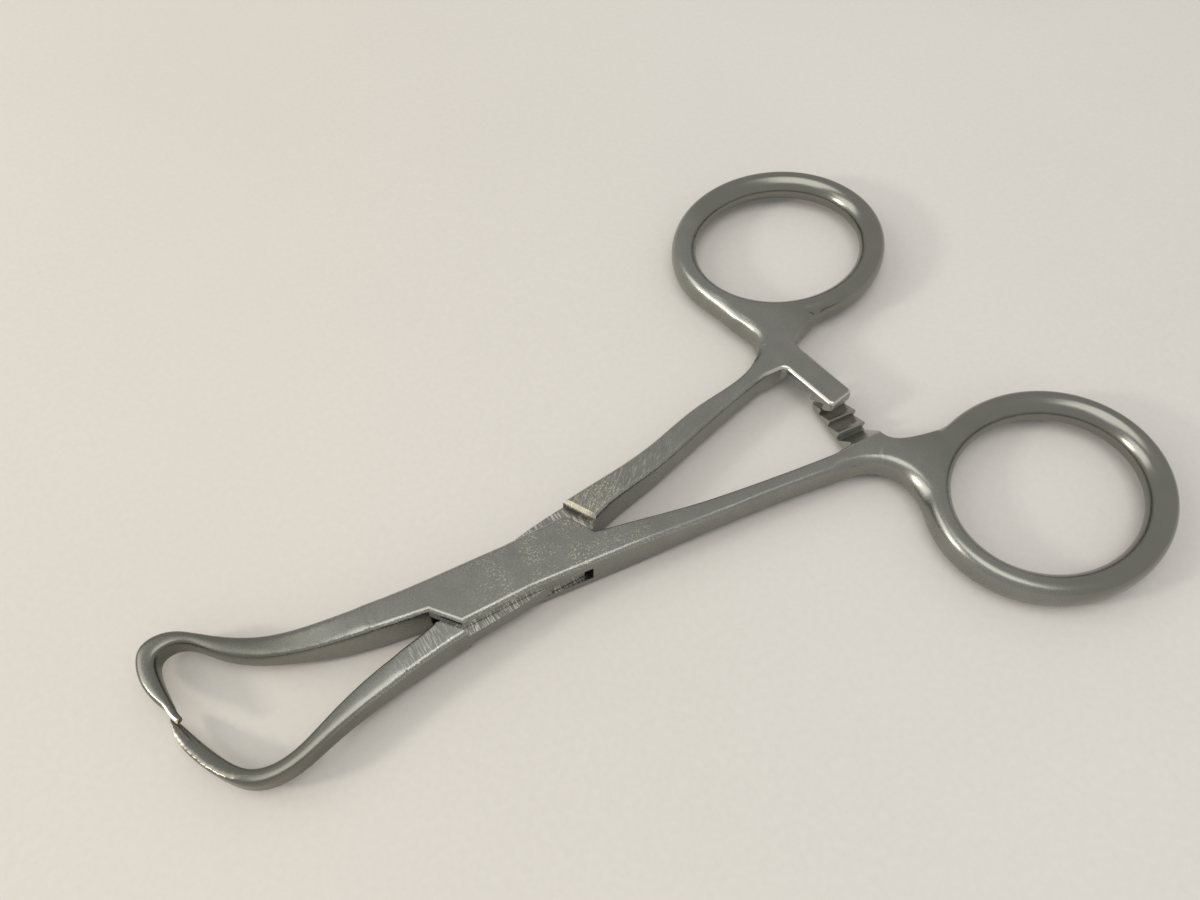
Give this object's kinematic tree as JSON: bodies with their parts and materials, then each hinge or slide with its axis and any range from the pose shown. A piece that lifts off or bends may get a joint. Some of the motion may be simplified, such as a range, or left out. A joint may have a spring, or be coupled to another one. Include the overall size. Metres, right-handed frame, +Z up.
{
  "type": "towel clamp",
  "caption": "Ring-handled towel clamp with crossed arms turning in a box lock, facing ratchet bars and inward-curved pointed jaws whose tips pass each other.",
  "frame": {"origin": "on the axis of the box lock pin, in the plane the closed clamp lies on", "axes": "+X along the handles towards the finger rings, +Z up along the pin axis, +Y towards the tongue arm's finger ring"},
  "size_m": [0.0896, 0.0606, 0.0042],
  "materials": {
    "satin_steel": "fine bead-blasted satin",
    "pin_steel": "ground flush, satin"
  },
  "bodies": {
    "box_half": {"box_arm": "satin_steel", "box_lock_pin": "pin_steel"},
    "tongue_half": {"tongue_arm": "satin_steel"}
  },
  "joints": [
    {"name": "box_lock_hinge", "type": "hinge", "parent": "box_half", "child": "tongue_half", "pos_m": [0, 0, 0.0021], "axis": [0, 0, 1], "range_deg": [-5, 50]}
  ]
}
